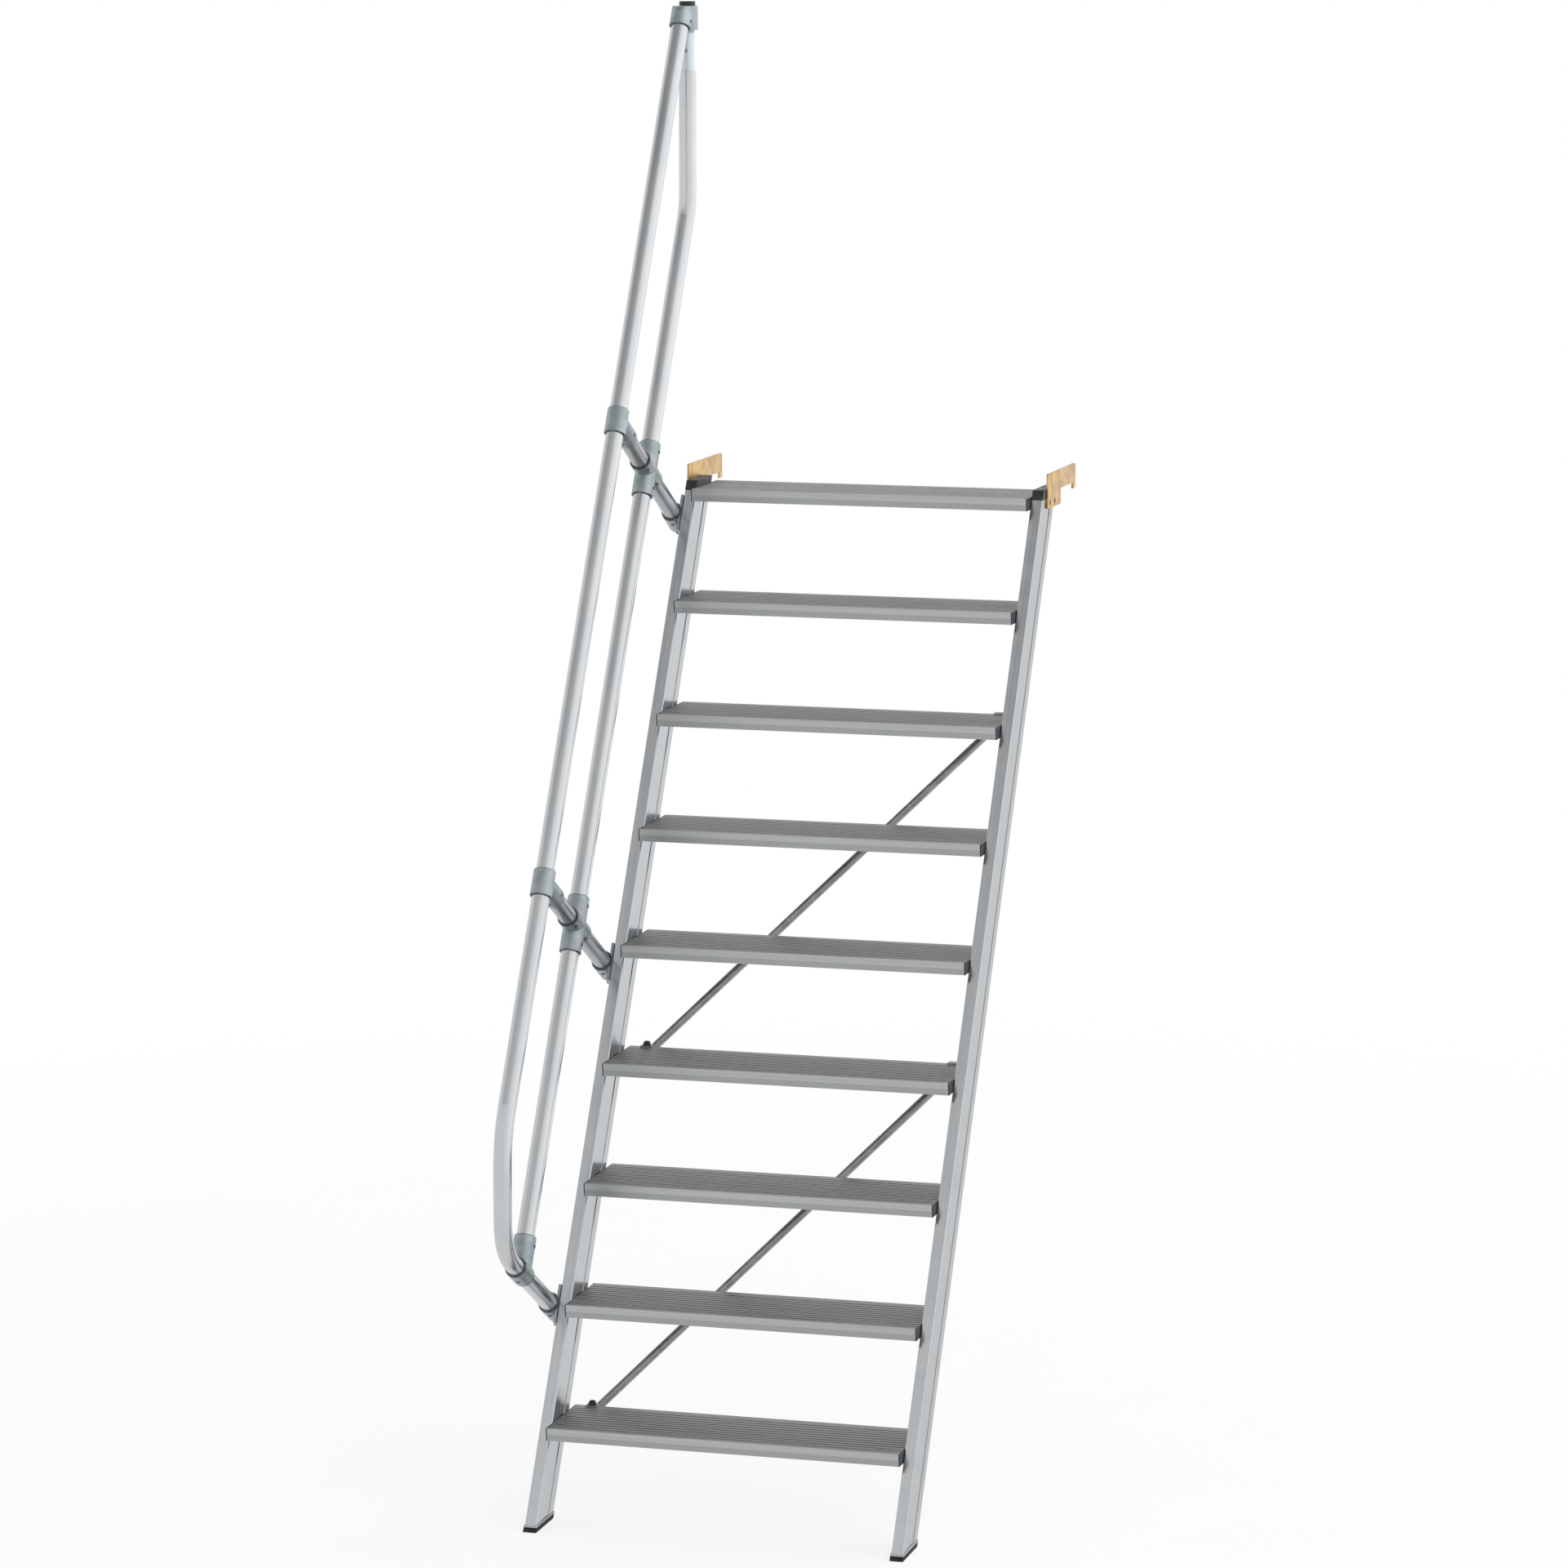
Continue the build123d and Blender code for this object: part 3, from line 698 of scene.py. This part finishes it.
def hook_corner_points():
    """The hook's outline with its marked corners rounded."""
    points = []
    count = len(HOOK_OUTLINE)
    for index, (y, z, rounded) in enumerate(HOOK_OUTLINE):
        corner = Vector((y, z))
        if not rounded:
            points.append(corner)
            continue
        before = Vector(HOOK_OUTLINE[index - 1][:2]) - corner
        after = Vector(HOOK_OUTLINE[(index + 1) % count][:2]) - corner
        first = before.normalized() * HOOK_CORNER
        second = after.normalized() * HOOK_CORNER
        for part in range(HOOK_CORNER_PARTS + 1):
            angle = math.pi / 2 * part / HOOK_CORNER_PARTS
            along_first = first * (1 - math.sin(angle))
            points.append(corner + along_first + second * (1 - math.cos(angle)))
    return points


def hook_plate(word, side, material, screw_material):
    """The punched steel hook with softened edges and screw holes, in place of its plain node."""
    curve = bpy.data.curves.new(f"top_hook_plate_{word}", "CURVE")
    curve.dimensions = "2D"
    curve.fill_mode = "BOTH"
    turns = [2 * math.pi * part / HOOK_HOLE_SIDES for part in range(HOOK_HOLE_SIDES)]
    hole = [Vector((math.cos(turn), math.sin(turn))) * HOOK_HOLE_RADIUS for turn in turns]
    holes = [[Vector(middle) + point for point in hole] for middle in HOOK_SCREWS]
    for loop in [hook_corner_points(), *holes]:
        spline = curve.splines.new("POLY")
        spline.points.add(len(loop) - 1)
        for point, target in zip(spline.points, loop):
            point.co = (target.x * MM, target.y * MM, 0.0, 1.0)
        spline.use_cyclic_u = True
    curve.extrude = (HOOK_THICK / 2 - HOOK_EDGE) * MM
    curve.bevel_depth = HOOK_EDGE * MM
    curve.bevel_resolution = 2
    curve.offset = -HOOK_EDGE * MM
    drawn = add_object("drawn_hook", curve)
    bpy.context.view_layer.update()
    drawn_shape = drawn.evaluated_get(bpy.context.evaluated_depsgraph_get())
    shape = bpy.data.meshes.new_from_object(drawn_shape)
    bpy.data.objects.remove(drawn)
    middle_x = side * (OUTER_X + HOOK_THICK / 2)
    stand = Matrix(((0, 0, 1, 0), (1, 0, 0, 0), (0, 1, 0, 0), (0, 0, 0, 1)))
    shift = Matrix.Translation(place(middle_x, 0.0, 0.0))
    shape.transform(shift @ stand)
    mesh = bmesh.new()
    mesh.from_mesh(shape)
    bpy.data.meshes.remove(shape)
    plate = finish_piece(mesh, f"top_hook_plate_{word}", material)
    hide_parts(f"top_hook_{word}")
    screws = bmesh.new()
    for y, z in HOOK_SCREWS:
        flush_screw(screws, place(side * (OUTER_X + HOOK_THICK), y, z), ACROSS * side)
    finish_piece(screws, f"top_hook_screws_{word}", screw_material)


def make_floor():
    """A pale floor that keeps the shadow and fades into the pale room round it.

    Its glow is seen directly and in reflections, and doesn't light the ladder.
    """
    mesh = bmesh.new()
    bmesh.ops.create_circle(mesh, cap_ends=True, segments=96, radius=FLOOR_RADIUS)
    data = bpy.data.meshes.new("studio_floor")
    mesh.to_mesh(data)
    mesh.free()
    floor = add_object("studio_floor", data)
    floor.location = (*FLOOR_MIDDLE, FLOOR_Z)
    finish = Finish("pale_floor", 0.0)
    position = finish.object_place()
    dust = finish.noise(position, 3.0, 3.0)
    colour = finish.mottled(dust, 0.3, 0.7, (0.945, 0.945, 0.945), (0.965, 0.965, 0.965))
    distance = finish.add("VectorMath", {0: position}, operation="LENGTH").outputs["Value"]
    path = finish.add("LightPath", {}).outputs
    seen = finish.math("ADD", path["Is Camera Ray"], path["Is Glossy Ray"])
    seen = finish.math("MINIMUM", finish.math("ADD", seen, path["Is Transmission Ray"]), 1.0)
    glow = finish.math("MULTIPLY", seen, FLOOR_GLOW)
    colour = finish.blend(glow, colour, (0.0, 0.0, 0.0))
    finish.done(colour, 0.9, finish.bump(dust, 0.0002))
    finish.shader.inputs["Emission Color"].default_value = (1.0, 1.0, 1.0, 1.0)
    finish.feed(finish.shader.inputs["Emission Strength"], glow)
    finish.feed(
        finish.shader.inputs["Alpha"], finish.ranged(distance, *FLOOR_FADE, 1.0, 0.0)
    )
    finish.shader.inputs["Specular IOR Level"].default_value = 0.1
    data.materials.append(finish.material)


def make_room():
    """A pale room: white walls, brightest at the back right, and a greyer ceiling."""
    world = bpy.data.worlds.new("pale_room")
    world.use_nodes = True
    room = Nodes(world.node_tree)
    background = room.tree.nodes["Background"]
    direction = room.add("TexCoord", {}).outputs["Generated"]
    across, depth, height = room.add("SeparateXYZ", {0: direction}).outputs
    left = room.math("MINIMUM", across, 0.0)
    sag = room.math("MULTIPLY", room.math("MULTIPLY", left, left), CEILING_SAG)
    line = room.math("SUBTRACT", room.math("MULTIPLY", across, CEILING_TILT), sag)
    above = room.math("SUBTRACT", room.math("SUBTRACT", height, CEILING_START), line)
    walls = room.ranged(above, -CEILING_SOFTNESS, CEILING_SOFTNESS, 1.0, 0.0)
    behind = room.math("MULTIPLY", room.math("ADD", depth, 1.0), RIGHT_EXTRA)
    right = room.math("MULTIPLY", room.ranged(across, *RIGHT_RANGE, 0.0, 1.0), behind)
    level = room.math("MULTIPLY", room.math("ADD", right, WALL_EXTRA), walls)
    level = room.math("ADD", level, CEILING_LEVEL)
    room.feed(background.inputs["Strength"], level)
    background.inputs["Color"].default_value = (1.0, 1.0, 1.0, 1.0)
    bpy.context.scene.world = world


def make_key():
    """One large soft lamp overhead, a little to the right and behind."""
    data = bpy.data.lights.new("key_softbox", "AREA")
    data.shape = "SQUARE"
    data.size = KEY_SIZE
    data.energy = KEY_POWER
    lamp = add_object("key_softbox", data)
    towards = KEY_FROM.normalized()
    target = Vector((*FLOOR_MIDDLE, KEY_TARGET_Z))
    lamp.location = target + towards * KEY_DISTANCE
    lamp.rotation_euler = towards.to_track_quat("Z", "Y").to_euler()


def make_camera():
    """The photo's camera: level from side to side, turned left and dipped."""
    yaw = math.radians(CAMERA_YAW_DEG)
    dip = math.radians(CAMERA_DIP_DEG)
    forward = Vector(
        (-math.sin(yaw) * math.cos(dip), math.cos(yaw) * math.cos(dip), -math.sin(dip))
    )
    right = Vector((math.cos(yaw), math.sin(yaw), 0.0))
    up = right.cross(forward)
    data = bpy.data.cameras.new("photo_camera")
    data.sensor_width = SENSOR_MM
    data.lens = SENSOR_MM * FOCAL_PIXELS / IMAGE_PIXELS
    data.clip_end = 100.0
    camera = add_object("photo_camera", data)
    turn = Matrix((right, up, -forward)).transposed().to_4x4()
    camera.matrix_world = Matrix.Translation(CAMERA_PLACE) @ turn
    bpy.context.scene.camera = camera


def dress_nodes(finishes):
    """Gives every CAD node the finish of its record's slot, or one of its own."""
    for row in frame["record"]["subparts"]:
        node = frame["nodes"][row["node"]]
        finish = finishes.get(row["node"], finishes[row["material_slot"]])
        node.data.materials.clear()
        node.data.materials.append(finish)


make_camera()
finishes = {
    "stringer_aluminium": extruded_aluminium(),
    "tread_aluminium": tread_aluminium(),
    "tube_aluminium": tube_aluminium(
        "satin_drawn_tube", (0.52, 0.54, 0.555), (0.57, 0.58, 0.59), 0.17
    ),
    "cast_aluminium": cast_aluminium("blasted_cast_aluminium"),
    "yellow_zinc_steel": yellow_zinc(),
    "black_plastic": black_plastic(),
    "black_rubber": black_rubber(),
}
# The stanchions' tube is rougher than the rails' and darker with painted shade.
finishes["stanchions"] = finishes["stanchion_heads"] = tube_aluminium(
    "rough_stanchion_tube_with_painted_shade", (0.365, 0.385, 0.40), (0.425, 0.44, 0.45), 0.26
)
finishes["brace_lower"] = finishes["brace_upper"] = brace_tube()
finishes["top_fitting"] = cast_aluminium("cast_aluminium_with_neck", with_neck=True)
dress_nodes(finishes)
# The collar rings wear painted shade at the castings' mouths; the grub screws and base bolts share
# the dark metal.
collar_shade_and_screw_finish = collar_shade_and_screw_metal()
painted_shade_screw_finish = painted_shade_screw_zinc()
casting_collars(collar_shade_and_screw_finish)
casting_screws(collar_shade_and_screw_finish)
base_bolts(collar_shade_and_screw_finish)
brace_covers(finishes["black_plastic"])
hook_plate("left", -1, finishes["yellow_zinc_steel"], painted_shade_screw_finish)
hook_plate("right", 1, finishes["yellow_zinc_steel"], painted_shade_screw_finish)
make_floor()
make_room()
make_key()
bpy.context.scene.view_settings.view_transform = "Standard"
